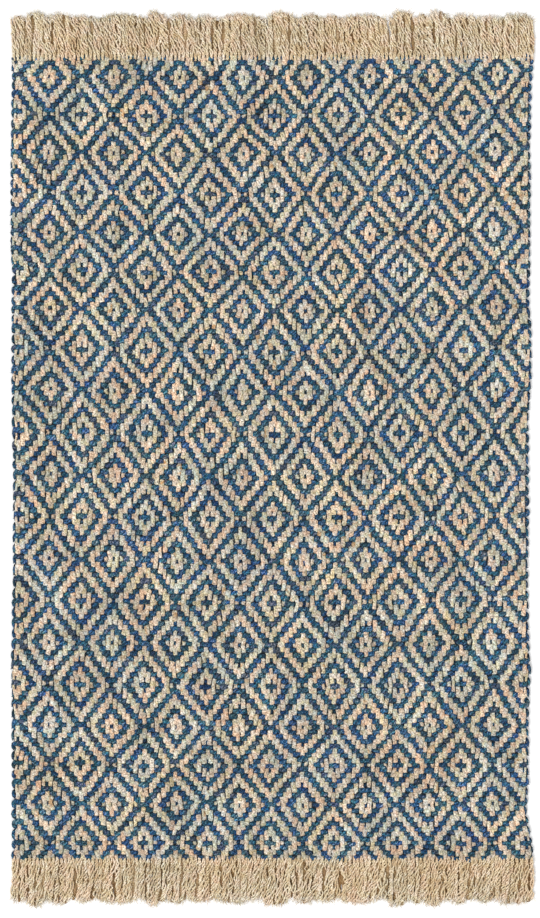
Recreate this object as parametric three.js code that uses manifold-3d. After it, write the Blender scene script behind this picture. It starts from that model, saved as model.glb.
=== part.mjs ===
// A flat-woven natural fibre rug with a fringe at both ends, lying flat. Millimetres, +Z up.
// +Y runs along the rug towards its far end and +X across it, to the right seen from above.
// The woven field is one slab, and each fringe is a row of loose warp ends fused at their roots.
// The weave itself is finer than these solids.

import * as THREE from 'three';
import { mergeVertices } from 'three/addons/utils/BufferGeometryUtils.js';
import Module from 'manifold-3d';

// Woven field
const WARP_ENDS = 131;
const PICKS = 160;
const FIELD_LENGTH = 1394;
const FIELD_THICKNESS = 8;
const EDGE_ROUND = 2.4;

// Each turn of the weft at a self-edge covers two picks and stands out as a small bump.
const TURN_REACH = 4.4;
const TURN_DEPTH = 2.4;

// The field is not quite square. Each row gives one pick, counted from the far end, with how far
// along the rug it lies, the middle and half the span of the outer warp ends there, and how far
// the warp has drifted sideways mid-width.
const ROWS = [
  { pick: -0.5, along: 0, middle: 1.6, half: 449.0, drift: 4.2 },
  { pick: 4, along: 31, middle: 1.6, half: 448.8, drift: 4.2 },
  { pick: 20, along: 164, middle: -0.8, half: 448.3, drift: 4.3 },
  { pick: 36, along: 302, middle: -0.8, half: 448.1, drift: 4.5 },
  { pick: 52, along: 434, middle: 0.0, half: 447.6, drift: 4.1 },
  { pick: 68, along: 576, middle: 0.0, half: 447.7, drift: 3.9 },
  { pick: 84, along: 724, middle: -0.3, half: 445.1, drift: 2.3 },
  { pick: 100, along: 868, middle: 0.2, half: 444.8, drift: -0.2 },
  { pick: 116, along: 1015, middle: -2.5, half: 445.8, drift: 0.2 },
  { pick: 132, along: 1158, middle: -0.8, half: 447.1, drift: -2.4 },
  { pick: 148, along: 1295, middle: -2.4, half: 444.7, drift: -0.3 },
  { pick: 159.5, along: FIELD_LENGTH, middle: -2.4, half: 444.7, drift: 0.0 },
];

// The right self-edge is drawn in or flares out. Each row gives how far out its last warp end lies
// from the even line of the others, and the ends beside it follow over EDGE_ENDS of them.
const RIGHT_EDGE = [
  { pick: -0.5, out: -0.8 },
  { pick: 4, out: -2.0 },
  { pick: 8, out: -4.3 },
  { pick: 36, out: -3.9 },
  { pick: 52, out: -5.3 },
  { pick: 57, out: -2.1 },
  { pick: 64, out: -1.9 },
  { pick: 73, out: -6.2 },
  { pick: 92, out: -2.9 },
  { pick: 100, out: -5.8 },
  { pick: 116, out: -2.7 },
  { pick: 121, out: 0.0 },
  { pick: 126, out: -3.2 },
  { pick: 132, out: -5.6 },
  { pick: 144, out: -2.9 },
  { pick: 150, out: -5.1 },
  { pick: 155, out: 2.6 },
  { pick: 159.5, out: 7.5 },
];
const EDGE_ENDS = 6;

// Fringe: one strand for each warp end, level on the floor. A strand's section is flat below and
// keeps CREST_SHARE of its width above. Its stations run from its root to its tip.
const CLEARANCE = 0.3;
const BACKING_WIDTH = 6;
const BACKING_HEIGHT = 5.5;
const STRAND_STATIONS = [
  { part: 0, width: 5.9, height: 5.0 },
  { part: 0.65, width: 5.4, height: 5.0 },
  { part: 1, width: 3.4, height: 2.6 },
];
const CREST_SHARE = 0.5;

// The strands fall into locks. Each lock's middle strands reach furthest and its outer ones stop
// at LOCK_VALLEY, and each end's strands are a little shorter or longer than that. A strand bends
// towards its lock's middle and leans to the left, more or less by turns, and the lean is what it
// comes to at FULL_REACH. Beside the right self-edge the strands stand straight.
const LOCKS = [
  { strands: 3, reach: 71 },
  { strands: 6, reach: 79 },
  { strands: 6, reach: 76 },
  { strands: 6, reach: 72 },
  { strands: 12, reach: 74 },
  { strands: 6, reach: 79 },
  { strands: 6, reach: 74 },
  { strands: 6, reach: 72 },
  { strands: 12, reach: 74 },
  { strands: 8, reach: 78 },
  { strands: 6, reach: 74 },
  { strands: 5, reach: 72 },
  { strands: 12, reach: 74 },
  { strands: 7, reach: 79 },
  { strands: 3, reach: 74 },
  { strands: 6, reach: 79 },
  { strands: 7, reach: 74 },
  { strands: 5, reach: 72 },
  { strands: 9, reach: 75 },
];
const LOCK_VALLEY = 66;
const LOCK_GATHER = 0.09;
const FAR_EXTRA = -2;
const NEAR_EXTRA = 3;
const LEAN = -3.2;
const LEAN_SWING = 1.8;
const LEAN_PERIOD = 23;
const FULL_REACH = 80;
const BEND_POWER = 2;

const wasm = await Module();
wasm.setup();

// A column of a table, read off between the two rows nearest to a pick
function read(table, pick, column) {
  const next = Math.max(1, table.findIndex((row) => row.pick >= pick));
  const [low, high] = [table[next - 1], table[next]];
  const share = (pick - low.pick) / (high.pick - low.pick);
  return THREE.MathUtils.lerp(low[column], high[column], share);
}

function rowAt(pick) {
  return {
    along: read(ROWS, pick, 'along'),
    middle: read(ROWS, pick, 'middle'),
    half: read(ROWS, pick, 'half'),
    drift: read(ROWS, pick, 'drift'),
    out: read(RIGHT_EDGE, pick, 'out'),
  };
}

// 1 at the right self-edge's last warp end, falling to 0 over EDGE_ENDS of them
function edgeShare(end) {
  return Math.max(0, 1 - (WARP_ENDS - 1 - end) / EDGE_ENDS);
}

// Sideways place of a warp end, from 0 at the left self-edge, in a row of the field
function warpX(end, row) {
  const across = (2 * end) / (WARP_ENDS - 1) - 1;
  const arch = Math.cos((Math.PI * across) / 2);
  return row.middle + row.half * across + row.drift * arch + row.out * edgeShare(end) ** 2;
}

// A closed body through sections that follow each other along +Y. Each is the same number of
// [x, z] corners, listed clockwise as seen from -Y, and the caps are convex.
function loft(sections) {
  const corners = sections[0].points.length;
  const places = sections.flatMap(({ y, points }) => points.flatMap(([x, z]) => [x, y, z]));
  const faces = [];
  for (let s = 0; s < sections.length - 1; s += 1) {
    for (let k = 0; k < corners; k += 1) {
      const a = s * corners + k;
      const b = s * corners + ((k + 1) % corners);
      faces.push(a, b, b + corners, a, b + corners, a + corners);
    }
  }
  const last = (sections.length - 1) * corners;
  for (let k = 1; k < corners - 1; k += 1) {
    faces.push(0, k + 1, k, last, last + k, last + k + 1);
  }
  const geometry = new THREE.BufferGeometry();
  geometry.setAttribute('position', new THREE.Float32BufferAttribute(places, 3));
  geometry.setIndex(faces);
  return geometry;
}

// A section with flat faces above and below and its sides rounded off
function slabSection(y, left, right) {
  const top = FIELD_THICKNESS;
  return {
    y,
    points: [
      [left + EDGE_ROUND, 0],
      [left, EDGE_ROUND],
      [left, top - EDGE_ROUND],
      [left + EDGE_ROUND, top],
      [right - EDGE_ROUND, top],
      [right, top - EDGE_ROUND],
      [right, EDGE_ROUND],
      [right - EDGE_ROUND, 0],
    ],
  };
}

// How far the weft's turns stand out at a pick. The left edge turns after even picks, the right after odd.
function turnAt(pick, firstTurn) {
  const bump = Math.abs(Math.cos((Math.PI * (pick - firstTurn)) / 2));
  return TURN_REACH - TURN_DEPTH * (1 - bump);
}

// The field is cut at every pick's middle and both its sides, so that the bumps come out round.
function makeField() {
  const sections = [];
  for (let step = 2 * PICKS; step >= 0; step -= 1) {
    const pick = step / 2 - 0.5;
    const row = rowAt(pick);
    const left = warpX(0, row) - turnAt(pick, 0.5);
    const right = warpX(WARP_ENDS - 1, row) + turnAt(pick, 1.5);
    sections.push(slabSection(FIELD_LENGTH / 2 - row.along, left, right));
  }
  return loft(sections);
}

function toManifold(geometry) {
  geometry.deleteAttribute('normal');
  geometry.deleteAttribute('uv');
  const merged = mergeVertices(geometry);
  const vertProperties = Float32Array.from(merged.attributes.position.array);
  const triVerts = Uint32Array.from(merged.index.array);
  return new wasm.Manifold(new wasm.Mesh({ numProp: 3, vertProperties, triVerts }));
}

function toGeometry(solid) {
  const { numProp, vertProperties, triVerts } = solid.getMesh();
  const places = [];
  for (let i = 0; i < vertProperties.length; i += numProp) {
    places.push(...vertProperties.subarray(i, i + 3));
  }
  const geometry = new THREE.BufferGeometry();
  geometry.setAttribute('position', new THREE.Float32BufferAttribute(places, 3));
  geometry.setIndex(Array.from(triVerts));
  return geometry;
}

// Each strand's length from the cloth, and how far its tip leans sideways
function strandPlan(extra) {
  const pitch = (2 * ROWS[0].half) / (WARP_ENDS - 1);
  const plan = [];
  for (const lock of LOCKS) {
    const first = plan.length;
    const centre = first + (lock.strands - 1) / 2;
    for (let end = first; end < first + lock.strands; end += 1) {
      const offset = end - centre;
      const share = offset / (lock.strands / 2);
      const swing = LEAN_SWING * Math.sin((2 * Math.PI * end) / LEAN_PERIOD);
      const lean = LEAN + swing - offset * LOCK_GATHER * pitch;
      plan.push({
        reach: lock.reach - (lock.reach - LOCK_VALLEY) * share * share + extra,
        lean: lean * (1 - edgeShare(end)),
      });
    }
  }
  return plan;
}

// One strand along +Y, or along -Y at the near end, with its root inside the backing
function makeStrand(rootX, rootY, direction, { reach, lean }) {
  const start = CLEARANCE + BACKING_WIDTH / 2;
  const sections = STRAND_STATIONS.map(({ part, width, height }) => {
    const out = THREE.MathUtils.lerp(start, reach, part);
    const x = rootX + lean * Math.pow(out / FULL_REACH, BEND_POWER);
    const crest = (CREST_SHARE * width) / 2;
    return {
      y: rootY + direction * out,
      points: [
        [x - width / 2, 0],
        [x - crest, height],
        [x + crest, height],
        [x + width / 2, 0],
      ],
    };
  });
  return loft(direction > 0 ? sections : sections.reverse());
}

// The narrow strip that the strands' roots are fused into, just clear of the cloth's edge
function makeBacking(left, right, rootY, direction) {
  const sections = [0, BACKING_WIDTH].map((out) => ({
    y: rootY + direction * (CLEARANCE + out),
    points: [
      [left, 0],
      [left, BACKING_HEIGHT],
      [right, BACKING_HEIGHT],
      [right, 0],
    ],
  }));
  return loft(direction > 0 ? sections : sections.reverse());
}

function makeFringe(direction) {
  const row = rowAt(direction > 0 ? -0.5 : PICKS - 0.5);
  const rootY = (direction * FIELD_LENGTH) / 2;
  const halfStrand = STRAND_STATIONS[0].width / 2;
  const left = warpX(0, row) - halfStrand;
  const right = warpX(WARP_ENDS - 1, row) + halfStrand;
  let fringe = toManifold(makeBacking(left, right, rootY, direction));
  strandPlan(direction > 0 ? FAR_EXTRA : NEAR_EXTRA).forEach((plan, end) => {
    fringe = fringe.add(toManifold(makeStrand(warpX(end, row), rootY, direction, plan)));
  });
  return toGeometry(fringe);
}

function named(name, geometry, material) {
  const mesh = new THREE.Mesh(geometry, material);
  mesh.name = name;
  return mesh;
}

const wovenJute = new THREE.MeshStandardMaterial({ color: 0x868a87, roughness: 0.95, metalness: 0 });
const naturalJute = new THREE.MeshStandardMaterial({ color: 0xbda88b, roughness: 0.95, metalness: 0 });

const rug = new THREE.Group();
rug.add(named('woven_field', makeField(), wovenJute));
rug.add(named('fringe_far', makeFringe(1), naturalJute));
rug.add(named('fringe_near', makeFringe(-1), naturalJute));

// The origin is on the floor under the middle of the rug's outline.
const outline = new THREE.Box3().setFromObject(rug);
const middle = outline.getCenter(new THREE.Vector3());
rug.position.set(-middle.x, -middle.y, -outline.min.z);

export default rug;
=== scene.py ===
# A flat-woven natural fibre rug with a fringe at both ends, lying on the floor and seen from above.
# The solids are one slab and two fringes. Here every yarn of the weave and the fringe is its own tube.
# Sizes are in millimetres, and MM turns them into metres when a mesh is made.

import math

import bpy
import numpy as np
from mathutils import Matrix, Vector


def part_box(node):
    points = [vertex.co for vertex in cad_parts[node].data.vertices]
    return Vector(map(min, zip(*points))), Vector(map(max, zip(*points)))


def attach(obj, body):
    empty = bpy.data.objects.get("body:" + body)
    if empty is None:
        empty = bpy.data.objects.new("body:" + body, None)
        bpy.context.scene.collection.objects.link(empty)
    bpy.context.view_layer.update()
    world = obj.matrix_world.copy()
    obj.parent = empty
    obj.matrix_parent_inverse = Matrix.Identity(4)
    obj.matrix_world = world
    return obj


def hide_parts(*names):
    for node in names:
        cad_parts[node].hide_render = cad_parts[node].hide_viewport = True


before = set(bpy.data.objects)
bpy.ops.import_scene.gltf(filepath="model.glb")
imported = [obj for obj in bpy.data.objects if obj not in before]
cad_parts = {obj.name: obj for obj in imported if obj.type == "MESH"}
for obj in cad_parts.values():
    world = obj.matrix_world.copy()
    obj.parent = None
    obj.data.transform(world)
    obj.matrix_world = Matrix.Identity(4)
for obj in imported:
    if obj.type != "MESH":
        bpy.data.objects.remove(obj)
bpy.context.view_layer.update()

MM = 0.001
RANDOM = np.random.default_rng(20)

# Woven field, with the same lines as its solid
WARP_ENDS = 131
PICKS = 160
FIELD_LENGTH = 1394.0
FIELD_THICKNESS = 8.0
TURN_REACH = 4.4
ROWS = (
    # pick, along, middle, half, drift, bow, skew
    (-0.5, 0, 1.6, 449.0, 4.2, 0.0, 0.0),
    (4, 31, 1.6, 448.8, 4.2, 8.8, -2.1),
    (20, 164, -0.8, 448.3, 4.3, 8.7, -2.1),
    (36, 302, -0.8, 448.1, 4.5, 8.5, -1.9),
    (52, 434, 0.0, 447.6, 4.1, 8.9, -0.7),
    (68, 576, 0.0, 447.7, 3.9, 8.9, 1.0),
    (84, 724, -0.3, 445.1, 2.3, 8.3, 0.1),
    (100, 868, 0.2, 444.8, -0.2, 8.5, -0.7),
    (116, 1015, -2.5, 445.8, 0.2, 6.9, -0.3),
    (132, 1158, -0.8, 447.1, -2.4, 6.7, 1.1),
    (148, 1295, -2.4, 444.7, -0.3, 2.8, 1.1),
    (159.5, 1394, -2.4, 444.7, 0.0, 0.0, 0.0),
)
ROW_PICK, ROW_ALONG, ROW_MIDDLE, ROW_HALF, ROW_DRIFT, ROW_BOW, ROW_SKEW = np.array(ROWS).T
RIGHT_EDGE = (
    # pick, out
    (-0.5, -0.8), (4, -2.0), (8, -4.3), (36, -3.9), (52, -5.3), (57, -2.1), (64, -1.9), (73, -6.2),
    (92, -2.9), (100, -5.8), (116, -2.7), (121, 0.0), (126, -3.2), (132, -5.6), (144, -2.9), (150, -5.1),
    (155, 2.6), (159.5, 7.5),
)
EDGE_PICK, EDGE_OUT = np.array(RIGHT_EDGE).T
EDGE_ENDS = 6
HEAD_PICK = -0.5
TAIL_PICK = PICKS - 0.5

# Goose-eye twill: diamonds that repeat every 16 ends and picks around one centre
REPEAT = 16
CENTRE_END = 9
CENTRE_PICK = 4

# Yarn in the cloth. A float bulges, and where a yarn changes face it is squeezed. The warp rises more
# than the weft. "single" and "long" say how much of the rise a lone crossing and a float's middle have.
# The neighbours of a lone crossing close in on it.
MID_PLANE = FIELD_THICKNESS / 2
WARP = {"rise": 2.0, "single": 0.62, "long": 1.0, "pull": -0.2, "height": 4.2}
WEFT = {"rise": 1.75, "single": 0.55, "long": 1.15, "pull": 0.1, "height": 3.8}
WARP_WIDTH = 8.7
WARP_SQUEEZED = 8.0
WEFT_WIDTH_SHARE = 1.2
WEFT_SQUEEZED_SHARE = 0.92
CLOSE_IN_ACROSS = 1.2
CLOSE_IN_ALONG = 0.9
LONE_WARP_WIDTH = 0.78
# The next two darken a lone crossing, which lies low between its neighbours: painted shade.
LONE_WARP_SHADE = -0.3
LONE_WEFT_SHADE = -0.4
FIRST_PICK_RISE = 0.55
FIRST_PICK_WIDTH = 0.8
YARN_SIDES = 6
WARP_HALF = 66

# The cloth's edges: the outer warp ends are thin, and the weft turns round them
EDGE_WARP_WIDTH = 4.6
EDGE_WARP_INSET = 3.0
WARP_PAST_EDGE = 1.0
WARP_TIP_SHARE = 0.7
WARP_TIP_HEIGHT = 2.6
TURN_YARN_WIDTH = 5.6
TURN_YARN_HEIGHT = 4.6
TURN_RISE = 0.6
TURN_SHOULDER = 0.7
TURN_PICK_SHARE = 0.12
TURN_JITTER = 0.5
TURN_LIGHT = 0.22

# Unevenness of the cloth: how far places, heights, widths and lightness stray
PLACE_JITTER = 0.9
RISE_JITTER = 0.28
DRIFT_JITTER = 1.9
DRIFT_CELL = 42.0
WIDTH_JITTER = 0.1
SLUB = 0.09
SLUB_LENGTH = 60.0
FLOAT_LIGHT = 0.16
YARN_LIGHT = 0.10
WARP_LIGHT_LENGTH = 90.0
WEFT_LIGHT_LENGTH = 120.0
NOISE_MARGIN = 20
WEFT_NOISE_START = 480
WEFT_NOISE_LENGTH = 1000

# Fringe, with the same locks as its solids
LOCKS = (
    # strands, reach
    (3, 71), (6, 79), (6, 76), (6, 72), (12, 74), (6, 79), (6, 74), (6, 72), (12, 74), (8, 78),
    (6, 74), (5, 72), (12, 74), (7, 79), (3, 74), (6, 79), (7, 74), (5, 72), (9, 75),
)
LOCK_VALLEY = 66.0
LOCK_GATHER = 0.09
LEAN = -3.2
LEAN_SWING = 1.8
LEAN_PERIOD = 23
FULL_REACH = 80.0
BEND_POWER = 2.0
FAR = {
    "side": 1,
    "pick": HEAD_PICK,
    "twist": 1,
    "extra": -2.0,
    "in_cloth": 10.0,
    "over_cloth": (0.0, 7.5),
}
NEAR = {
    "side": -1,
    "pick": TAIL_PICK,
    "twist": -1,
    "extra": 3.0,
    "in_cloth": 6.0,
    "over_cloth": (-1.5, 2.5),
}

# A strand comes out of the cloth over its edge, falls to the floor and wanders, some across others
ROOT_CREST = 6.2
ROOT_TOP = 2.6
ROOT_FALL = 10.0
WANDER = (1.6, 0.9, 0.7)
SWAY = 0.6
FREE_ENDS = 3
CROSSING_SHARE = 0.22
CROSSING_LEAN = 5.0
CROSSING_LEAN_RANGE = (0.5, 1)
CROSSING_LIFT = 2.2
CROSSING_LIFT_RANGE = (0.6, 1)
STRAND_LIGHT = 0.08

# The plies wound round each strand's middle line, tight at the cloth and loose at the tip
PLIES = 3
PLY_RADIUS = 1.8
HELIX_RADIUS = 2.35
OPENNESS = 0.35
OPENNESS_RANGE = (-0.4, 1)
ROOT_HELIX_RADIUS = 1.2
ROOT_NECK = 5.0
TIP_HELIX_RADIUS = 2.9
TIP_PLY_RADIUS = 1.15
# TIP_LIGHT is painted light: the plies grow lighter over their last TIP_LENGTH, as light reaches the
# loose ends from all sides.
TIP_LIGHT = 0.45
TIP_LENGTH = 14.0
TIP_FRAY = 4.0
TIP_POINTS = 4
STRAND_PITCH = (13.0, 32.0)
TWIST_SWING = 0.16
TWIST_SWINGS = (1, 2)
SQUASH = 0.75
PLY_WANDER = 1.0
PLY_CRINKLE = 0.4
PLY_LIGHT = 0.13
PLY_STEPS = 20
PLY_SIDES = 4

# The loose ply between two strands
STRAY_WIDTH_SHARE = 1.9
STRAY_HEIGHT = (1.2, 3.6)
STRAY_NARROWER = 0.6
STRAY_LOWER = 0.5
STRAY_TAPER_POWER = 8
STRAY_ROOT_RISE = 4.0
STRAY_CRINKLE = 0.5
STRAY_REACH = (0.9, 1.0)
STRAY_WANDER = 1.2
STRAY_WIGGLE = 0.6
STRAY_STEPS = 11

# The pale fibres that fan out of the tips
WISPS = 15
WISP_START = (0.2, 1.0)
WISP_LENGTH = (5.5, 11.0)
WISP_RADIUS = (0.45, 0.85)
WISP_TAPER = (1.0, 0.75, 0.2)
WISP_SPREAD = 0.42
WISP_LIFT = 0.10
WISP_CURL = 0.12
WISP_LIGHT = 0.3
WISP_LOWEST = 2.4
WISP_SIDES = 3

# The map: tubes stand side by side in rows, with a margin round each
MAP_ROWS = 5
WISP_MAP_ROWS = 30
MAP_MARGIN = 0.06

# Ground: a thin sheet at half the thickness between the yarns, painted dark as the shade in the gaps
# between them
GAP_SHADE_STOPS = ((0.3, (16, 26, 34)), (0.7, (44, 48, 50)))
GROUND_ROUGHNESS = 0.95
GROUND_RELIEF = 0.3
GROUND_THICKNESS = 0.8
GROUND_INSET = 3.0
GROUND_COLUMNS = 18
GROUND_ROWS = 28

# Photograph: 540 by 918 pixels, seen from straight above
IMAGE_HEIGHT = 918
MM_PER_PIXEL = 1.731
VIEW_CENTRE = (-3.75, -2.8)
FOCAL_HEIGHT = 7.0
LENS = 85.0
SENSOR = 36.0

# Floor and light. The key lamp is tilted about X and Y, in degrees.
FLOOR_SIZE = 40.0
FLOOR_COLOUR = (251, 251, 251)
FLOOR_ROUGHNESS = 0.9
WORLD_LIGHT = 0.95
KEY_LIGHT = 1.3
KEY_ANGLE = 25.0
KEY_TILT = (26.6, -30.0)

# Noise in the yarn, as scale and detail. The fibres' is laid round and along the yarn, each streak
# longer than wide, and the others' scales are patches in each metre.
FIBRE_NOISE = (3.4, 4.0)
FIBRE_STRETCH = 0.14
SEED_STRIDE = 97.0
FLUFF_NOISE = (420.0, 2.0)
BLEACH_NOISE = (110.0, 2.0)
AREA_NOISE = (62.0, 1.0)
BROAD_NOISE = (14.0, 1.0)
WARM_NOISE = (12.0, 2.0)
GROUND_NOISE = (400.0, 3.0)

# How much of a yarn's hue is its own, and how its surface takes the light
TWIST_PITCH = 23.0
OWN_HUE = 0.28
SPECULAR = 0.2
SHEEN = 0.1
SHEEN_ROUGHNESS = 0.5

# The part of a noise's, or of another value's, range that each effect runs over
NOISE_RANGE = (0.3, 0.7)
PATCH_RANGE = (0.36, 0.64)
PALE_RANGE = (0.42, 0.66)
STRAY_RANGE = (0.54, 0.68)
GROOVE_SHADE_RANGE = (0.0, 0.6)
FLANK_SHADE_RANGE = (0.3, 0.95)
ROUGHNESS = (0.8, 0.96)
# The next three are the spans, in millimetres of height, of painted shade: off the cloth's middle, above
# the floor under the fringe, and above the floor at the tips.
CLOTH_DEPTH = (0.5, 3.2)
FRINGE_HEIGHT = (0.8, 5.0)
TIP_HEIGHT = (0.0, 5.0)
TIP_SHADE = (0.75, 1.0)

# Each yarn's look. Colours are 0 to 255 on screen, and hues are stops of a ramp. Pairs are what
# brightness is multiplied by at the low and the high end. fall_off are the powers of brightness for
# red and blue, and warmth is how far an area's red and blue swing. The colour mixed into the grooves
# between the plies and its share are painted shade there, side is painted shade on a tube's flanks
# against its top, and shade is painted shade by height.
NATURAL = {
    "hues": (
        (0.0, (229, 190, 161)),
        (0.25, (225, 200, 173)),
        (0.5, (220, 206, 187)),
        (0.75, (215, 201, 159)),
        (0.88, (202, 208, 190)),
        (1.0, (206, 164, 116)),
    ),
    "pale": (216, 217, 210),
    "pale_share": 0.64,
    "low_pale": 0.14,
    "stray": (230, 224, 208),
    "stray_share": 0.25,
    "groove_shade": (150, 120, 90),
    "groove_share": 0.2,
    "pitch": TWIST_PITCH,
    "plies": 3,
    "light": (0.85, 1.18),
    "fibre": (0.6, 1.18),
    "fluff": (0.44, 1.3),
    "broad": (0.88, 1.13),
    "warmth": 0.08,
    "side": (1.0, 1.0),
    "shade": (0.68, 1.0),
    "fall_off": (0.96, 1.04),
    "ply_relief": 0.5,
    "relief": 0.4,
}
BLUE = {
    "hues": (
        (0.0, (27, 68, 121)),
        (0.3, (24, 80, 118)),
        (0.55, (24, 88, 110)),
        (0.75, (36, 79, 91)),
        (0.9, (50, 69, 105)),
        (1.0, (64, 72, 78)),
    ),
    "pale": (70, 92, 106),
    "pale_share": 0.4,
    "low_pale": 0.0,
    "stray": (134, 150, 158),
    "stray_share": 0.36,
    "groove_shade": (10, 24, 36),
    "groove_share": 0.55,
    "pitch": TWIST_PITCH,
    "plies": 3,
    "light": (0.48, 1.32),
    "fibre": (0.38, 1.8),
    "fluff": (0.2, 2.16),
    "broad": (0.86, 1.15),
    "warmth": 0.08,
    "side": (0.7, 1.0),
    "shade": (0.2, 1.0),
    "fall_off": (1.32, 0.86),
    "ply_relief": 1.0,
    "relief": 0.5,
}
LOOSE = {
    "hues": (
        (0.0, (220, 190, 158)),
        (0.4, (224, 202, 169)),
        (0.7, (216, 196, 156)),
        (1.0, (198, 168, 130)),
    ),
    "pale": (220, 208, 184),
    "pale_share": 0.35,
    "low_pale": 0.0,
    "stray": (240, 226, 200),
    "stray_share": 0.35,
    "groove_shade": (130, 96, 62),
    "groove_share": 0.26,
    "pitch": -9.0,
    "plies": 2,
    "light": (0.88, 1.32),
    "fibre": (0.8, 1.24),
    "fluff": (0.7, 1.3),
    "broad": (0.95, 1.05),
    "warmth": 0.04,
    "side": (0.68, 1.07),
    "shade": (0.36, 1.0),
    "fall_off": (0.75, 1.38),
    "ply_relief": 0.6,
    "relief": 0.4,
}
# The fibres at the tips: lighter, with less painted shade on their flanks and between their plies, which
# is painted light, as light reaches the loose ends from all sides.
TIPS = {**LOOSE, "light": (1.0, 1.6), "side": (0.85, 1.07), "groove_share": 0.1}


# Lines of the weave

def row_at(pick, column):
    return np.interp(pick, ROW_PICK, column)


def field_x(end, pick):
    across = 2 * end / (WARP_ENDS - 1) - 1
    arch = np.cos(np.pi * across / 2)
    follows = np.clip(1 - (WARP_ENDS - 1 - end) / EDGE_ENDS, 0, 1)
    even = row_at(pick, ROW_MIDDLE) + row_at(pick, ROW_HALF) * across + row_at(pick, ROW_DRIFT) * arch
    return even + np.interp(pick, EDGE_PICK, EDGE_OUT) * follows ** 2


def field_y(end, pick):
    across = 2 * end / (WARP_ENDS - 1) - 1
    arch = np.cos(np.pi * across / 2)
    along = row_at(pick, ROW_ALONG) + row_at(pick, ROW_SKEW) * across + row_at(pick, ROW_BOW) * arch
    return FIELD_LENGTH / 2 - along


def field_shift():
    """How far the solids were moved to put the origin under the middle of the outline."""
    pick = np.arange(2 * PICKS + 1) / 2 - 0.5
    left = (field_x(0, pick) - TURN_REACH).min()
    right = (field_x(WARP_ENDS - 1, pick) + TURN_REACH).max()
    low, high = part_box("woven_field")
    return np.array([(low.x + high.x) / 2 / MM - (left + right) / 2, (low.y + high.y) / 2 / MM, 0.0])


SHIFT = field_shift()


def fold(count):
    return (count + REPEAT // 2) % REPEAT - REPEAT // 2


def draft():
    """Whether the warp is on the upper face, for each end and pick."""
    end = np.arange(WARP_ENDS)[:, None]
    pick = np.arange(PICKS)[None, :]
    ring = (np.abs(fold(end - CENTRE_END)) + np.abs(fold(pick - CENTRE_PICK))) % 4
    return (ring == 1) | (ring == 2)


# Chance, always drawn in the same order

def smooth_noise(length, cell, rows=1):
    """Rows of soft noise around 0, read at every millimetre of length, that change about once a cell."""
    knots = int(length / cell) + 3
    values = RANDOM.normal(0, 1, (rows, knots))
    places = np.arange(int(length) + 1) / cell
    return np.array([np.interp(places, np.arange(knots), row) for row in values])


def patchy_noise(x, y, cell):
    """Soft noise over the field, as one value for each place."""
    columns = int(np.ptp(x) / cell) + 3
    rows = int(np.ptp(y) / cell) + 3
    values = RANDOM.normal(0, 1, (columns, rows))
    u = (x - x.min()) / cell
    v = (y - y.min()) / cell
    i = u.astype(int)
    j = v.astype(int)
    fu = u - i
    fv = v - j
    near = values[i, j] * (1 - fu) + values[i + 1, j] * fu
    far = values[i, j + 1] * (1 - fu) + values[i + 1, j + 1] * fu
    return near * (1 - fv) + far * fv


# Tubes: each is a row of sections with a point at both ends, and a bundle of them is one mesh

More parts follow.
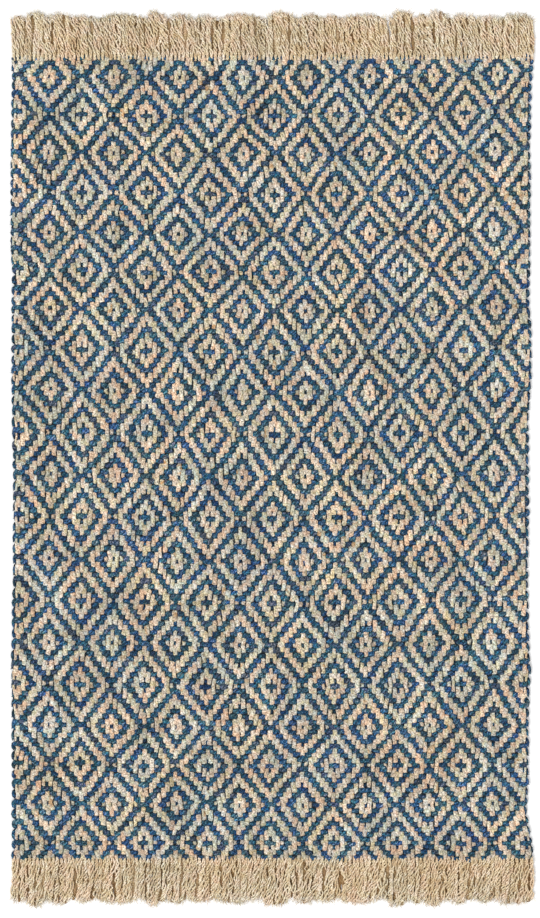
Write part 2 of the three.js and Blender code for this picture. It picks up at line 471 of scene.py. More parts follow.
class Bundle:
    def __init__(self, sides, twist=1):
        self.sides = sides
        self.twist = twist
        self.corners = []
        self.strand = []
        self.tone = []
        self.rings = []
        self.cells = []

    def add(self, points, width, height, tone, along=None, cell=None):
        """points (n, 3), width and height (n) and tone (n, 3) follow the yarn's middle line."""
        count = len(points)
        step = np.gradient(points, axis=0)
        ahead = step / np.linalg.norm(step, axis=1, keepdims=True)
        side = np.cross(ahead, (0, 0, 1))
        side /= np.linalg.norm(side, axis=1, keepdims=True)
        above = np.cross(side, ahead)
        turn = 2 * np.pi * (np.arange(self.sides) + 0.5) / self.sides
        across = np.cos(turn)[None, :, None] * side[:, None, :] * width[:, None, None] / 2
        upward = np.sin(turn)[None, :, None] * above[:, None, :] * height[:, None, None] / 2
        rings = points[:, None, :] + across + upward
        rings[:, :, 2] = np.maximum(rings[:, :, 2], 0)
        first = points[0] - ahead[0] * height[0] / 4
        last = points[-1] + ahead[-1] * height[-1] / 4
        self.corners += [first[None], rings.reshape(-1, 3), last[None]]
        if along is None:
            gaps = np.linalg.norm(np.diff(points, axis=0), axis=1)
            along = np.concatenate([[0], np.cumsum(gaps)])
        wound = np.empty((count, self.sides, 3))
        wound[:, :, 0] = np.cos(turn) * self.twist
        wound[:, :, 1] = np.sin(turn)
        wound[:, :, 2] = along[:, None]
        ends = np.array([[0, 1, along[0]], [0, 1, along[-1]]])
        self.strand += [ends[:1], wound.reshape(-1, 3), ends[1:]]
        self.tone += [tone[:1], np.repeat(tone, self.sides, axis=0), tone[-1:]]
        self.rings.append(count)
        self.cells.append(cell)

    def faces(self):
        """Corner numbers and map places of the quads, then of the triangles at the ends."""
        sides = self.sides
        k = np.arange(sides)
        after = (k + 1) % sides
        quads, quad_uv, fans, fan_uv = [], [], [], []
        base = 0
        for count, (left, low, wide, high) in zip(self.rings, self.cells):
            i = np.arange(count - 1)[:, None]
            ring = base + 1 + i * sides
            quads.append(np.stack([ring + k, ring + sides + k, ring + sides + after, ring + after], 2))
            u0 = left + wide * k / sides + 0 * i
            u1 = left + wide * (k + 1) / sides + 0 * i
            v0 = low + high * (i + 1) / (count + 1) + 0 * k
            v1 = low + high * (i + 2) / (count + 1) + 0 * k
            corners = [(u0, v0), (u0, v1), (u1, v1), (u1, v0)]
            quad_uv.append(np.stack([np.stack(c, 2) for c in corners], 2))
            start = base + 1
            end = base + 1 + (count - 1) * sides
            tip = end + sides
            fans.append(np.stack([np.full(sides, base), start + k, start + after], 1))
            fans.append(np.stack([np.full(sides, tip), end + after, end + k], 1))
            middle = left + wide * (k + 0.5) / sides
            edge = [left + wide * k / sides, left + wide * (k + 1) / sides]
            root_v = np.full(sides, low)
            first_v = np.full(sides, low + high / (count + 1))
            last_v = np.full(sides, low + high * count / (count + 1))
            tip_v = np.full(sides, low + high)
            for trio in (
                [(middle, root_v), (edge[0], first_v), (edge[1], first_v)],
                [(middle, tip_v), (edge[1], last_v), (edge[0], last_v)],
            ):
                fan_uv.append(np.stack([np.stack(c, 1) for c in trio], 1))
            base = tip + 1
        quads = np.concatenate([q.reshape(-1, 4) for q in quads])
        fans = np.concatenate(fans)
        uv = [np.concatenate([q.reshape(-1, 2) for q in quad_uv]), np.concatenate(fan_uv).reshape(-1, 2)]
        return quads, fans, np.concatenate(uv)

    def make(self, name, material):
        quads, fans, uv = self.faces()
        mesh = bpy.data.meshes.new(name)
        corners = (np.concatenate(self.corners) + SHIFT) * MM
        mesh.vertices.add(len(corners))
        mesh.vertices.foreach_set("co", corners.ravel().astype(np.float32))
        loops = np.concatenate([quads.ravel(), fans.ravel()])
        mesh.loops.add(len(loops))
        mesh.loops.foreach_set("vertex_index", loops.astype(np.int32))
        sizes = np.concatenate([np.full(len(quads), 4), np.full(len(fans), 3)])
        mesh.polygons.add(len(sizes))
        starts = np.concatenate([[0], np.cumsum(sizes)[:-1]])
        mesh.polygons.foreach_set("loop_start", starts.astype(np.int32))
        mesh.update(calc_edges=True)
        mesh.shade_smooth()
        layer = mesh.uv_layers.new(name="OFBake")
        layer.uv.foreach_set("vector", uv.ravel().astype(np.float32))
        for title, values in (("strand", self.strand), ("tone", self.tone)):
            attribute = mesh.attributes.new(title, "FLOAT_VECTOR", "POINT")
            attribute.data.foreach_set("vector", np.concatenate(values).ravel().astype(np.float32))
        mesh.materials.append(material)
        piece = bpy.data.objects.new(name, mesh)
        bpy.context.scene.collection.objects.link(piece)
        return piece


def grid_cell(index, columns, rows):
    """A tube's own part of the map, as its left, low, width and height, with a margin round it."""
    column = index % columns
    row = index // columns
    return (
        (column + MAP_MARGIN) / columns,
        (row + MAP_MARGIN) / rows,
        (1 - 2 * MAP_MARGIN) / columns,
        (1 - 2 * MAP_MARGIN) / rows,
    )


# The weave

def yarn_line(faces, yarn):
    """The places along one yarn as (q, rise, squeezed, float number), from which face it is on at each
    crossing: a place at each crossing, pulled towards its float's middle, and one at each change."""
    changed = faces[1:] != faces[:-1]
    same_before = np.concatenate([[False], ~changed])
    same_after = np.concatenate([~changed, [False]])
    pull = yarn["pull"] * (same_after.astype(float) - same_before)
    share = np.where(same_before & same_after, yarn["long"], 1.0)
    share = np.where(~same_before & ~same_after, yarn["single"], share)
    rise = np.where(faces, 1, -1) * share * yarn["rise"]
    number = np.concatenate([[0], np.cumsum(changed)])
    crossing = np.arange(len(faces))
    change = crossing[:-1][changed]
    q = np.concatenate([crossing + pull, change + 0.5])
    order = np.argsort(q)
    rise = np.concatenate([rise, np.zeros(len(change))])[order]
    squeezed = np.concatenate([np.zeros(len(faces)), np.ones(len(change))])[order]
    number = np.concatenate([number, number[change]])[order]
    return q[order], rise, squeezed, number.astype(int)


def float_tones(number, length_noise, seed, lone_shade):
    """Lightness, hue and a yarn's own number for each place, with each float a little different. A lone
    crossing has two places, itself and the change after it, and the value passed for lone crossings is
    added to its lightness to darken it: painted shade, as a lone crossing lies low between its
    neighbours."""
    floats = number.max() + 1
    lone = np.bincount(number) <= 2
    light = (RANDOM.normal(0, FLOAT_LIGHT, floats) + lone_shade * lone)[number] + length_noise
    hue = RANDOM.uniform(0, 1, floats)[number]
    return np.stack([np.clip(0.5 + light, 0, 1), hue, np.full(len(number), seed)], 1)


END_GRID, PICK_GRID = np.meshgrid(np.arange(WARP_ENDS), np.arange(PICKS), indexing="ij")
CROSS_X = field_x(END_GRID, PICK_GRID)
CROSS_Y = field_y(END_GRID, PICK_GRID)
CROSS_X = CROSS_X + DRIFT_JITTER * patchy_noise(CROSS_X, CROSS_Y, DRIFT_CELL)
CROSS_Y = CROSS_Y + DRIFT_JITTER * patchy_noise(CROSS_X, CROSS_Y, DRIFT_CELL)
WARP_UP = draft()


def close_in():
    """The neighbours of a crossing that differs from both of them move towards it."""
    changed = WARP_UP[1:] != WARP_UP[:-1]
    lone = changed[1:] & changed[:-1]
    CROSS_X[:-2] += CLOSE_IN_ACROSS * lone
    CROSS_X[2:] -= CLOSE_IN_ACROSS * lone
    changed = WARP_UP[:, 1:] != WARP_UP[:, :-1]
    lone = changed[:, 1:] & changed[:, :-1]
    CROSS_Y[:, :-2] -= CLOSE_IN_ALONG * lone
    CROSS_Y[:, 2:] += CLOSE_IN_ALONG * lone


PICK_PITCH = -np.gradient(CROSS_Y, axis=1)
close_in()


def make_warp(name, ends, material):
    """A tube for each warp end, from edge to edge of the cloth."""
    bundle = Bundle(YARN_SIDES)
    slubs = smooth_noise(FIELD_LENGTH + NOISE_MARGIN, SLUB_LENGTH, len(ends))
    shades = smooth_noise(FIELD_LENGTH + NOISE_MARGIN, WARP_LIGHT_LENGTH, len(ends))
    for index, end in enumerate(ends):
        q, rise, squeezed, number = yarn_line(WARP_UP[end], WARP)
        pick = np.arange(PICKS)
        x = np.interp(q, pick, CROSS_X[end])
        y = np.interp(q, pick, CROSS_Y[end])
        count = len(q)
        x = x + RANDOM.normal(0, PLACE_JITTER, count)
        z = MID_PLANE + rise + RANDOM.normal(0, RISE_JITTER, count)
        x = x + EDGE_WARP_INSET * (int(end == 0) - int(end == WARP_ENDS - 1))
        broad = EDGE_WARP_WIDTH if end in (0, WARP_ENDS - 1) else WARP_WIDTH
        narrow = min(broad, WARP_SQUEEZED)
        at = np.clip((FIELD_LENGTH / 2 - y).astype(int), 0, int(FIELD_LENGTH))
        width = np.where(squeezed > 0, narrow, broad)
        lone = np.isclose(rise, WARP["single"] * WARP["rise"])
        width = np.where(lone, LONE_WARP_WIDTH * width, width)
        width = width * (1 + SLUB * slubs[index, at] + RANDOM.normal(0, WIDTH_JITTER, count))
        height = WARP["height"] * (1 + RANDOM.normal(0, WIDTH_JITTER, count))
        tone = float_tones(number, YARN_LIGHT * shades[index, at], RANDOM.uniform(), LONE_WARP_SHADE)
        far = FIELD_LENGTH / 2 + WARP_PAST_EDGE
        head = [field_x(end, HEAD_PICK), far, MID_PLANE]
        tail = [field_x(end, TAIL_PICK), -far, MID_PLANE]
        points = np.concatenate([[head], np.stack([x, y, z], 1), [tail]])
        width = np.concatenate([[narrow * WARP_TIP_SHARE], width, [narrow * WARP_TIP_SHARE]])
        height = np.concatenate([[WARP_TIP_HEIGHT], height, [WARP_TIP_HEIGHT]])
        tone = np.concatenate([tone[:1], tone, tone[-1:]])
        cell = grid_cell(index, len(ends), 1)
        bundle.add(points[::-1], width[::-1], height[::-1], tone[::-1], cell=cell)
    return bundle.make(name, material)


def turn_points(pick, right_side):
    """The weft's way round the edge from one pick to the next."""
    end = WARP_ENDS - 1 if right_side else 0
    out = 1 if right_side else -1
    y0 = CROSS_Y[end, pick]
    y1 = CROSS_Y[end, pick + 1]
    x0 = field_x(end, pick + 0.5)
    z0 = MID_PLANE + TURN_RISE + RANDOM.normal(0, TURN_JITTER)
    reach = TURN_REACH - TURN_YARN_WIDTH / 2 + RANDOM.normal(0, TURN_JITTER)
    shoulder = x0 + out * reach * TURN_SHOULDER
    return np.array([
        [shoulder, y0 + TURN_PICK_SHARE * (y1 - y0), z0],
        [x0 + out * reach, (y0 + y1) / 2, z0],
        [shoulder, y1 - TURN_PICK_SHARE * (y1 - y0), z0],
    ])


def make_weft(name, picks, material):
    """The weft runs to and fro as one yarn. Each pick is a tube with its own strip of the map, and it
    goes on round the edge to the next pick's first crossing, where the next tube starts."""
    bundle = Bundle(YARN_SIDES)
    slubs = smooth_noise(WEFT_NOISE_LENGTH, SLUB_LENGTH, len(picks))
    shades = smooth_noise(WEFT_NOISE_LENGTH, WEFT_LIGHT_LENGTH, len(picks))
    travelled = 0.0
    for index, pick in enumerate(picks):
        q, rise, squeezed, number = yarn_line(~WARP_UP[:, pick], WEFT)
        end = np.arange(WARP_ENDS)
        x = np.interp(q, end, CROSS_X[:, pick])
        y = np.interp(q, end, CROSS_Y[:, pick])
        count = len(q)
        y = y + RANDOM.normal(0, PLACE_JITTER, count)
        rise = rise * (FIRST_PICK_RISE if pick == 0 else 1)
        z = MID_PLANE + rise + RANDOM.normal(0, RISE_JITTER, count)
        pitch = np.interp(q, end, PICK_PITCH[:, pick]) * (FIRST_PICK_WIDTH if pick == 0 else 1)
        at = np.clip((x + WEFT_NOISE_START).astype(int), 0, WEFT_NOISE_LENGTH - 1)
        width = pitch * np.where(squeezed > 0, WEFT_SQUEEZED_SHARE, WEFT_WIDTH_SHARE)
        width = width * (1 + SLUB * slubs[index, at] + RANDOM.normal(0, WIDTH_JITTER, count))
        height = WEFT["height"] * (1 + RANDOM.normal(0, WIDTH_JITTER, count))
        tone = float_tones(number, YARN_LIGHT * shades[index, at], RANDOM.uniform(), LONE_WEFT_SHADE)
        points = np.stack([x, y, z], 1)
        rightward = pick % 2 == 1
        if not rightward:
            points, width, height, tone = points[::-1], width[::-1], height[::-1], tone[::-1]
        if pick < PICKS - 1:
            around = turn_points(pick, rightward)
            next_x = CROSS_X[WARP_ENDS - 1 if rightward else 0, pick + 1]
            next_y = CROSS_Y[WARP_ENDS - 1 if rightward else 0, pick + 1]
            points = np.concatenate([points, around, [[next_x, next_y, around[2, 2]]]])
            loop_width = TURN_YARN_WIDTH + RANDOM.normal(0, TURN_JITTER)
            width = np.concatenate([width, np.full(3, loop_width), [width[-1]]])
            height = np.concatenate([height, np.full(3, TURN_YARN_HEIGHT), [height[-1]]])
            loop_light = np.clip(0.5 + RANDOM.normal(0, TURN_LIGHT), 0, 1)
            tone = np.concatenate([tone, np.repeat([[loop_light, *tone[-1, 1:]]], 4, axis=0)])
        gaps = np.linalg.norm(np.diff(points, axis=0), axis=1)
        along = travelled + np.concatenate([[0], np.cumsum(gaps)])
        travelled = along[-1]
        bundle.add(points, width, height, tone, along, grid_cell(index, len(picks), 1))
    return bundle.make(name, material)


# The fringe

def strand_plan(extra):
    """Each strand's length from the cloth and how far its tip leans, as its solid has them."""
    pitch = 2 * ROWS[0][3] / (WARP_ENDS - 1)
    plan = []
    for strands, reach in LOCKS:
        first = len(plan)
        centre = first + (strands - 1) / 2
        for end in range(first, first + strands):
            offset = end - centre
            share = offset / (strands / 2)
            swing = LEAN_SWING * math.sin(2 * math.pi * end / LEAN_PERIOD)
            length = reach - (reach - LOCK_VALLEY) * share * share + extra
            upright = max(0.0, 1 - (WARP_ENDS - 1 - end) / EDGE_ENDS)
            lean = LEAN + swing - offset * LOCK_GATHER * pitch
            plan.append((length, lean * (1 - upright)))
    return plan


def strand_line(end, edge, length, lean):
    """The middle line of one strand, from inside the cloth to its tip, and how far out each point is.
    FREE_ENDS strands at either side wander less, and the outermost not at all."""
    out = np.linspace(-edge["in_cloth"], length - TIP_FRAY, PLY_STEPS)
    bent = np.clip(out, 0, None) / FULL_REACH
    crossing = RANDOM.uniform() < CROSSING_SHARE
    side = 0.0
    if crossing:
        side = RANDOM.choice([-1, 1]) * CROSSING_LEAN * RANDOM.uniform(*CROSSING_LEAN_RANGE)
    free = min(1.0, min(end, WARP_ENDS - 1 - end) / FREE_ENDS)
    part = np.clip(out / length, 0, 1)
    x = field_x(end, edge["pick"]) + (lean + free * side) * bent ** BEND_POWER
    for number, size in enumerate(WANDER):
        x = x + free * RANDOM.normal(0, size) * np.sin((2 * number + 1) * np.pi * part)
    y = edge["side"] * (FIELD_LENGTH / 2 + out)
    floor = PLY_RADIUS + HELIX_RADIUS * SQUASH
    lift = CROSSING_LIFT * RANDOM.uniform(*CROSSING_LIFT_RANGE) * np.sin(np.pi * part) ** 2 * crossing
    sway = np.abs(RANDOM.normal(0, SWAY)) * np.sin(np.pi * part)
    over = RANDOM.uniform(*edge["over_cloth"])
    stops = (-edge["in_cloth"], -over, ROOT_TOP, ROOT_FALL)
    descent = np.interp(out, stops, (MID_PLANE, ROOT_CREST, ROOT_CREST, floor))
    z = descent + lift + sway
    return np.stack([x, y, z], 1), out


def add_plies(bundle, line, out, length, tone, cells):
    """The plies wound round the strand's middle line. They loosen towards the tip, and painted light
    makes them lighter there, as light reaches the loose ends from all sides.
    """
    pitch = RANDOM.uniform(*STRAND_PITCH)
    waves = out / length * RANDOM.uniform(*TWIST_SWINGS) + RANDOM.uniform()
    swing = TWIST_SWING * np.sin(2 * np.pi * waves)
    turn = 2 * np.pi * (out / pitch + swing + RANDOM.uniform())
    loose = np.clip((out - length + TIP_LENGTH) / (TIP_LENGTH - TIP_FRAY), 0, 1)
    rooted = np.clip((ROOT_NECK - out) / ROOT_FALL, 0, 1)
    wound = HELIX_RADIUS * (1 + OPENNESS * RANDOM.uniform(*OPENNESS_RANGE))
    wound = wound + (TIP_HELIX_RADIUS - wound) * loose
    wound = wound + (ROOT_HELIX_RADIUS - wound) * rooted
    radius = PLY_RADIUS + (TIP_PLY_RADIUS - PLY_RADIUS) * loose
    tone = np.repeat(tone, PLY_STEPS, axis=0)
    ahead = np.gradient(line, axis=0)
    ahead /= np.linalg.norm(ahead, axis=1, keepdims=True)
    side = np.cross(ahead, (0, 0, 1))
    part = np.clip(out / length, 0, 1)
    tips = []
    for ply, cell in enumerate(cells):
        angle = bundle.twist * turn + 2 * np.pi * ply / PLIES
        own = tone.copy()
        own[:, 0] = np.clip(own[:, 0] + RANDOM.normal(0, PLY_LIGHT) + TIP_LIGHT * loose, 0, 1)
        bow = RANDOM.normal(0, PLY_WANDER, 2)
        aside = bow[0] * np.sin(2 * np.pi * part) + bow[1] * np.sin(3 * np.pi * part)
        aside = aside + RANDOM.normal(0, PLY_CRINKLE, PLY_STEPS)
        points = line + (np.cos(angle) * wound + aside)[:, None] * side
        points[:, 2] = np.maximum(line[:, 2] + np.sin(angle) * wound * SQUASH, radius)
        bundle.add(points, 2 * radius, 2 * radius, own, out, cell)
        tips.append(points[-TIP_POINTS:])
    return tips


def add_stray(bundle, end, edge, length, lean, tone, cell):
    """A loose ply that lies flat and low in the gap between a strand and the next one."""
    out = np.linspace(-edge["in_cloth"] / 2, length * RANDOM.uniform(*STRAY_REACH), STRAY_STEPS)
    bent = np.clip(out, 0, None) / FULL_REACH
    even = field_x(end + 0.5, edge["pick"]) + lean * bent ** BEND_POWER
    part = np.clip(out / length, 0, 1)
    bow = RANDOM.normal(0, STRAY_WANDER, 3)
    aside = bow[0] * np.sin(np.pi * part) + bow[1] * np.sin(2 * np.pi * part)
    aside = aside + STRAY_WIGGLE * bow[2] * np.sin(4 * np.pi * part)
    aside = aside + RANDOM.normal(0, STRAY_CRINKLE, STRAY_STEPS)
    y = edge["side"] * (FIELD_LENGTH / 2 + out)
    gap = field_x(end + 1, edge["pick"]) - field_x(end, edge["pick"])
    taper = part ** STRAY_TAPER_POWER
    width = STRAY_WIDTH_SHARE * gap * (1 - STRAY_NARROWER * taper)
    height = RANDOM.uniform(*STRAY_HEIGHT) * (1 - STRAY_LOWER * taper)
    z = height / 2 + STRAY_ROOT_RISE * np.clip(-out / ROOT_FALL, 0, 1)
    points = np.stack([even + aside, y, z], 1)
    bundle.add(points, width, height, np.repeat(tone, STRAY_STEPS, axis=0), out, cell)


def add_wisps(bundle, tips, tone, cell_of):
    """Loose fibres that fan out of the plies' ends."""
    for number in range(WISPS):
        tip = tips[number % PLIES]
        start = tip[0] + (tip[-1] - tip[0]) * RANDOM.uniform(*WISP_START)
        ahead = tip[-1] - tip[0]
        ahead = ahead / np.linalg.norm(ahead)
        side = np.array([ahead[1], -ahead[0], 0]) * RANDOM.normal(0, WISP_SPREAD)
        lift = np.array([0, 0, RANDOM.normal(0, WISP_LIFT)])
        reach = RANDOM.uniform(*WISP_LENGTH)
        part = np.array([0, 0.5, 1.0])[:, None]
        curl = RANDOM.normal(0, WISP_CURL) * reach * part ** 2
        points = start + (ahead + side + lift) * reach * part
        points = points + curl * np.array([1, 0, 0])
        radius = RANDOM.uniform(*WISP_RADIUS) * np.array(WISP_TAPER)
        points[:, 2] = np.maximum(points[:, 2], WISP_LOWEST + radius)
        tones = np.repeat(tone, len(part), axis=0)
        bundle.add(points, 2 * radius, 2 * radius, tones, cell=cell_of(number))


def make_fringe(name, edge, material, tip_material):
    """The yarns of one fringe as one piece, and the fibres at their tips as another."""
    plies = Bundle(PLY_SIDES, edge["twist"])
    wisps = Bundle(WISP_SIDES, edge["twist"])
    columns = math.ceil(WARP_ENDS * (PLIES + 1) / MAP_ROWS)
    wisp_columns = math.ceil(WARP_ENDS * WISPS / WISP_MAP_ROWS)
    for end, (length, lean) in enumerate(strand_plan(edge["extra"])):
        line, out = strand_line(end, edge, length, lean)
        light = np.clip(0.5 + RANDOM.normal(0, STRAND_LIGHT), 0, 1)
        hue = RANDOM.uniform()
        tone = np.array([[light, hue, RANDOM.uniform()]])
        cells = [grid_cell((PLIES + 1) * end + ply, columns, MAP_ROWS) for ply in range(PLIES + 1)]
        tips = add_plies(plies, line, out, length, tone, cells[:PLIES])
        if end < WARP_ENDS - 1:
            add_stray(plies, end, edge, length, lean, tone, cells[PLIES])
        wisp_tone = np.array([[np.clip(light + WISP_LIGHT, 0, 1), hue, RANDOM.uniform()]])
        first = end * WISPS
        add_wisps(wisps, tips, wisp_tone, lambda n: grid_cell(first + n, wisp_columns, WISP_MAP_ROWS))
    return plies.make(name, material), wisps.make(name + "_tips", tip_material)


# The ground

def make_ground(material):
    """A thin closed sheet at half the thickness, a little inside the field's edges, which closes the gaps
    between the yarns and is painted dark as the shade in them.
    """
    u = np.linspace(0, WARP_ENDS - 1, GROUND_COLUMNS + 1)
    v = np.linspace(HEAD_PICK, TAIL_PICK, GROUND_ROWS + 1)
    end, pick = np.meshgrid(u, v, indexing="ij")
    middle = row_at(pick, ROW_MIDDLE)
    x = middle + (field_x(end, pick) - middle) * (1 - GROUND_INSET / ROW_HALF.mean())
    y = field_y(end, pick) * (1 - 2 * GROUND_INSET / FIELD_LENGTH)
    top = np.stack([x, y, np.full_like(x, MID_PLANE + GROUND_THICKNESS / 2)], 2).reshape(-1, 3)
    bottom = top - [0, 0, GROUND_THICKNESS]
    number = np.arange(len(top)).reshape(x.shape)
    a = number[:-1, 1:]
    b = number[1:, 1:]
    c = number[1:, :-1]
    d = number[:-1, :-1]
    upper = np.stack([d, c, b, a], 2).reshape(-1, 4)
    lower = np.stack([a, b, c, d], 2).reshape(-1, 4) + len(top)
    rim = np.concatenate([number[:, 0], number[-1, 1:], number[-2::-1, -1], number[0, -2:0:-1]])
    after = np.roll(rim, -1)
    wall = np.stack([rim, after, after + len(top), rim + len(top)], 1)
    mesh = bpy.data.meshes.new("ground")
    places = (np.concatenate([top, bottom]) + SHIFT) * MM
    mesh.from_pydata(places.tolist(), [], np.concatenate([upper, lower, wall]).tolist())
    mesh.update()
    mesh.materials.append(material)
    piece = bpy.data.objects.new("ground", mesh)
    bpy.context.scene.collection.objects.link(piece)
    return piece


# Materials

def linear(red, green, blue):
    """A colour given as 0 to 255 on screen, as the shader takes it."""
    def one(value):
        share = value / 255
        return share / 12.92 if share <= 0.04045 else ((share + 0.055) / 1.055) ** 2.4
    return (one(red), one(green), one(blue), 1.0)


class Nodes:
    """Short ways to add nodes to one material."""

    def __init__(self, material):
        material.use_nodes = True
        self.tree = material.node_tree
        self.shader = self.tree.nodes["Principled BSDF"]

    def put(self, socket, value):
        if isinstance(value, bpy.types.NodeSocket):
            self.tree.links.new(value, socket)
        else:
            socket.default_value = value

    def math(self, operation, first, second=0.0, clamp=False):
        node = self.tree.nodes.new("ShaderNodeMath")
        node.operation = operation
        node.use_clamp = clamp
        self.put(node.inputs[0], first)
        self.put(node.inputs[1], second)
        return node.outputs[0]

    def spread(self, value, low, high, out_low, out_high):
        node = self.tree.nodes.new("ShaderNodeMapRange")
        node.interpolation_type = "SMOOTHSTEP"
        self.put(node.inputs["Value"], value)
        for title, number in (
            ("From Min", low), ("From Max", high), ("To Min", out_low), ("To Max", out_high),
        ):
            node.inputs[title].default_value = number
        return node.outputs["Result"]

    def attribute(self, name):
        node = self.tree.nodes.new("ShaderNodeAttribute")
        node.attribute_name = name
        parts = self.tree.nodes.new("ShaderNodeSeparateXYZ")
        self.tree.links.new(node.outputs["Vector"], parts.inputs[0])
        return parts.outputs

    def vector(self, x, y, z):
        node = self.tree.nodes.new("ShaderNodeCombineXYZ")
        for socket, value in zip(node.inputs, (x, y, z)):
            self.put(socket, value)
        return node.outputs[0]

    def noise(self, vector, scale, detail):
        node = self.tree.nodes.new("ShaderNodeTexNoise")
        self.tree.links.new(vector, node.inputs["Vector"])
        node.inputs["Scale"].default_value = scale
        node.inputs["Detail"].default_value = detail
        return node.outputs["Fac"]

    def ramp(self, value, stops):
        node = self.tree.nodes.new("ShaderNodeValToRGB")
        self.tree.links.new(value, node.inputs[0])
        elements = node.color_ramp.elements
        while len(elements) < len(stops):
            elements.new(0.5)
        for element, (place, colour) in zip(elements, stops):
            element.position = place
            element.color = linear(*colour)
        return node.outputs[0]

    def mix(self, share, first, second, blend="MIX"):
        node = self.tree.nodes.new("ShaderNodeMix")
        node.data_type = "RGBA"
        node.blend_type = blend
        self.put(node.inputs["Factor"], share)
        self.put(node.inputs[6], first)
        self.put(node.inputs[7], second)
        return node.outputs[2]

    def height(self):
        """Height above the floor in millimetres."""
        node = self.tree.nodes.new("ShaderNodeTexCoord")
        parts = self.tree.nodes.new("ShaderNodeSeparateXYZ")
        self.tree.links.new(node.outputs["Object"], parts.inputs[0])
        return self.math("DIVIDE", parts.outputs["Z"], MM)

    def bump(self, value, depth):
        node = self.tree.nodes.new("ShaderNodeBump")
        node.inputs["Distance"].default_value = depth * MM
        self.tree.links.new(value, node.inputs["Height"])
        self.tree.links.new(node.outputs[0], self.shader.inputs["Normal"])


def yarn_material(name, look, shade):
    """Twisted jute. look says its colours and how strongly its plies, fibres and fluff show, and shade
    how light it is from 0 to 1 at each height."""
    material = bpy.data.materials.new(name)
    nodes = Nodes(material)
    cos, sin, along = nodes.attribute("strand")
    light, hue, seed = nodes.attribute("tone")
    place = nodes.tree.nodes.new("ShaderNodeTexCoord").outputs["Object"]
    angle = nodes.math("ARCTAN2", sin, cos)
    wound = nodes.math("MULTIPLY", along, 2 * math.pi / look["pitch"])
    lay = nodes.math("SUBTRACT", angle, wound)
    fibres = nodes.vector(
        nodes.math("ADD", nodes.math("COSINE", lay), nodes.math("MULTIPLY", seed, SEED_STRIDE)),
        nodes.math("SINE", lay),
        nodes.math("MULTIPLY", along, FIBRE_STRETCH),
    )
    fibre = nodes.noise(fibres, *FIBRE_NOISE)
    fluff = nodes.noise(place, *FLUFF_NOISE)
    area = nodes.noise(place, *AREA_NOISE)
    bleached = nodes.noise(place, *BLEACH_NOISE)
    broad = nodes.noise(place, *BROAD_NOISE)
    warm = nodes.noise(place, *WARM_NOISE)
    patch = nodes.spread(area, *PATCH_RANGE, 0.0, 1 - OWN_HUE)
    varied = nodes.math("ADD", nodes.math("MULTIPLY", hue, OWN_HUE), patch)
    colour = nodes.ramp(varied, look["hues"])
    level = shade(nodes)
    deep = nodes.math("MULTIPLY", nodes.math("SUBTRACT", 1.0, level), look["low_pale"])
    pale = nodes.spread(nodes.math("ADD", bleached, deep), *PALE_RANGE, 0.0, look["pale_share"])
    colour = nodes.mix(pale, colour, linear(*look["pale"]))
    stray = nodes.spread(fibre, *STRAY_RANGE, 0.0, look["stray_share"])
    colour = nodes.mix(stray, colour, linear(*look["stray"]))
    phase = nodes.math("MULTIPLY", lay, look["plies"])
    crest = nodes.spread(nodes.math("COSINE", phase), -1.0, 1.0, 0.0, 1.0)
    # Painted shade in the grooves between the plies: a dark colour is mixed in where the plies dip.
    groove_shade = nodes.spread(crest, *GROOVE_SHADE_RANGE, look["groove_share"], 0.0)
    colour = nodes.mix(groove_shade, colour, linear(*look["groove_shade"]))
    brightness = nodes.spread(light, 0.0, 1.0, *look["light"])
    # The fibres', fluff's and broad patches' lightness is the yarn's own; side darkens a tube's flanks
    # against its top, which is painted shade.
    for value, span, key in (
        (fibre, NOISE_RANGE, "fibre"),
        (fluff, NOISE_RANGE, "fluff"),
        (broad, NOISE_RANGE, "broad"),
        (sin, FLANK_SHADE_RANGE, "side"),
    ):
        brightness = nodes.math("MULTIPLY", brightness, nodes.spread(value, *span, *look[key]))
    # Painted shade by height, from shade.
    brightness = nodes.math("MULTIPLY", brightness, nodes.spread(level, 0.0, 1.0, *look["shade"]))
    red, blue = (nodes.math("POWER", brightness, power) for power in look["fall_off"])
    warmer = 1 + look["warmth"]
    cooler = 1 - look["warmth"]
    red = nodes.math("MULTIPLY", red, nodes.spread(warm, *NOISE_RANGE, cooler, warmer))
    blue = nodes.math("MULTIPLY", blue, nodes.spread(warm, *NOISE_RANGE, warmer, cooler))
    colour = nodes.mix(1.0, colour, nodes.vector(red, brightness, blue), "MULTIPLY")
    nodes.tree.links.new(colour, nodes.shader.inputs["Base Color"])
    relief = nodes.math("ADD", nodes.math("MULTIPLY", crest, look["ply_relief"]), fibre)
    nodes.bump(nodes.math("ADD", relief, fluff), look["relief"])
    nodes.tree.links.new(
        nodes.spread(fibre, *NOISE_RANGE, *ROUGHNESS),
        nodes.shader.inputs["Roughness"],
    )
    nodes.shader.inputs["Specular IOR Level"].default_value = SPECULAR
    nodes.shader.inputs["Sheen Weight"].default_value = SHEEN
    nodes.shader.inputs["Sheen Roughness"].default_value = SHEEN_ROUGHNESS
    return material


def cloth_shade(nodes):
    """Darker towards the middle of the cloth's thickness."""
    off = nodes.math("ABSOLUTE", nodes.math("SUBTRACT", nodes.height(), MID_PLANE))
    return nodes.spread(off, *CLOTH_DEPTH, 0.0, 1.0)


def fringe_shade(nodes):
    """Darker low between the strands."""
    return nodes.spread(nodes.height(), *FRINGE_HEIGHT, 0.0, 1.0)


def tip_shade(nodes):
    """Hardly darker low down, because light reaches the loose ends from all sides."""
    return nodes.spread(nodes.height(), *TIP_HEIGHT, *TIP_SHADE)


def plain_material(name, colour, roughness):
    material = bpy.data.materials.new(name)
    nodes = Nodes(material)
    nodes.shader.inputs["Base Color"].default_value = linear(*colour)
    nodes.shader.inputs["Roughness"].default_value = roughness
    return material


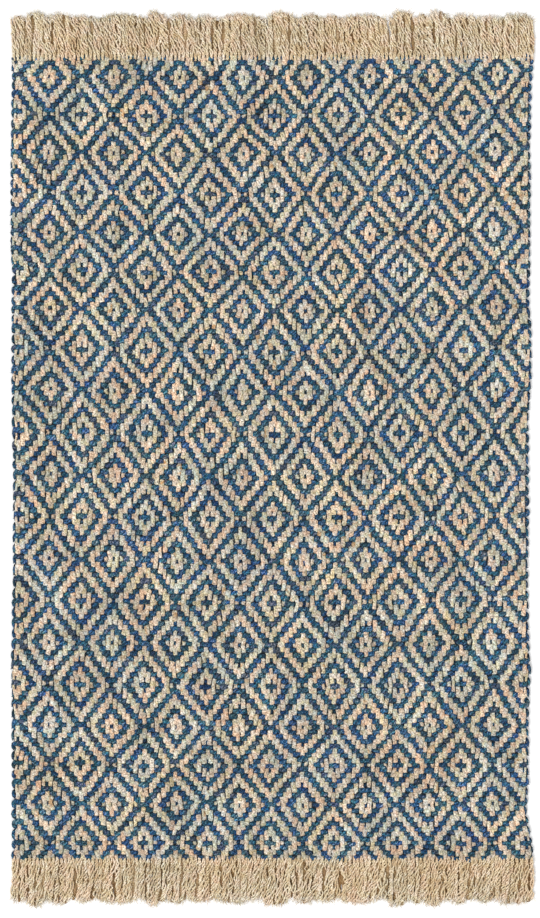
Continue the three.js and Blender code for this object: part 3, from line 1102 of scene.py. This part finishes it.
def ground_material():
    # Painted shade: dark colours for the shade seen in the gaps between the yarns.
    material = bpy.data.materials.new("painted_gap_shade")
    nodes = Nodes(material)
    place = nodes.tree.nodes.new("ShaderNodeTexCoord").outputs["Object"]
    fuzz = nodes.noise(place, *GROUND_NOISE)
    colour = nodes.ramp(fuzz, GAP_SHADE_STOPS)
    nodes.tree.links.new(colour, nodes.shader.inputs["Base Color"])
    nodes.shader.inputs["Roughness"].default_value = GROUND_ROUGHNESS
    nodes.bump(fuzz, GROUND_RELIEF)
    return material


natural = yarn_material("natural_jute_warp", NATURAL, cloth_shade)
blue = yarn_material("blue_jute_weft", BLUE, cloth_shade)
loose = yarn_material("natural_jute_fringe", LOOSE, fringe_shade)
frayed = yarn_material("natural_jute_tips", TIPS, tip_shade)


# Pieces, with the warp and the weft in two halves each

warp_left = make_warp("warp_left", range(0, WARP_HALF), natural)
warp_right = make_warp("warp_right", range(WARP_HALF, WARP_ENDS), natural)
weft_far = make_weft("weft_far", range(0, PICKS // 2), blue)
weft_near = make_weft("weft_near", range(PICKS // 2, PICKS), blue)
far_plies, far_tips = make_fringe("fringe_far_yarns", FAR, loose, frayed)
near_plies, near_tips = make_fringe("fringe_near_yarns", NEAR, loose, frayed)
ground = make_ground(ground_material())

CLOTH = (ground, warp_left, warp_right, weft_far, weft_near)
for piece in CLOTH:
    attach(piece, "root")
    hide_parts("woven_field")
FRINGES = (
    ("fringe_far", (far_plies, far_tips)),
    ("fringe_near", (near_plies, near_tips)),
)
for node, yarns in FRINGES:
    for piece in yarns:
        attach(piece, "root")
        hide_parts(node)


# Floor, light and camera

def make_floor():
    half = FLOOR_SIZE / 2
    mesh = bpy.data.meshes.new("floor")
    corners = [(-half, -half, 0), (half, -half, 0), (half, half, 0), (-half, half, 0)]
    mesh.from_pydata(corners, [], [(0, 1, 2, 3)])
    mesh.materials.append(plain_material("floor", FLOOR_COLOUR, FLOOR_ROUGHNESS))
    floor = bpy.data.objects.new("floor", mesh)
    bpy.context.scene.collection.objects.link(floor)


def make_light():
    world = bpy.data.worlds.new("studio")
    world.use_nodes = True
    background = world.node_tree.nodes["Background"]
    background.inputs["Color"].default_value = (1, 1, 1, 1)
    background.inputs["Strength"].default_value = WORLD_LIGHT
    bpy.context.scene.world = world
    key = bpy.data.lights.new("key", "SUN")
    key.energy = KEY_LIGHT
    key.angle = math.radians(KEY_ANGLE)
    lamp = bpy.data.objects.new("key", key)
    lamp.rotation_euler = (math.radians(KEY_TILT[0]), math.radians(KEY_TILT[1]), 0)
    bpy.context.scene.collection.objects.link(lamp)


def make_camera():
    data = bpy.data.cameras.new("camera")
    data.lens = LENS
    data.sensor_width = SENSOR
    frame_height = IMAGE_HEIGHT * MM_PER_PIXEL * MM
    distance = frame_height * LENS / SENSOR + FOCAL_HEIGHT * MM
    camera = bpy.data.objects.new("camera", data)
    camera.location = ((VIEW_CENTRE[0] + SHIFT[0]) * MM, (VIEW_CENTRE[1] + SHIFT[1]) * MM, distance)
    bpy.context.scene.collection.objects.link(camera)
    bpy.context.scene.camera = camera


make_floor()
make_light()
make_camera()
bpy.context.scene.view_settings.view_transform = "Standard"
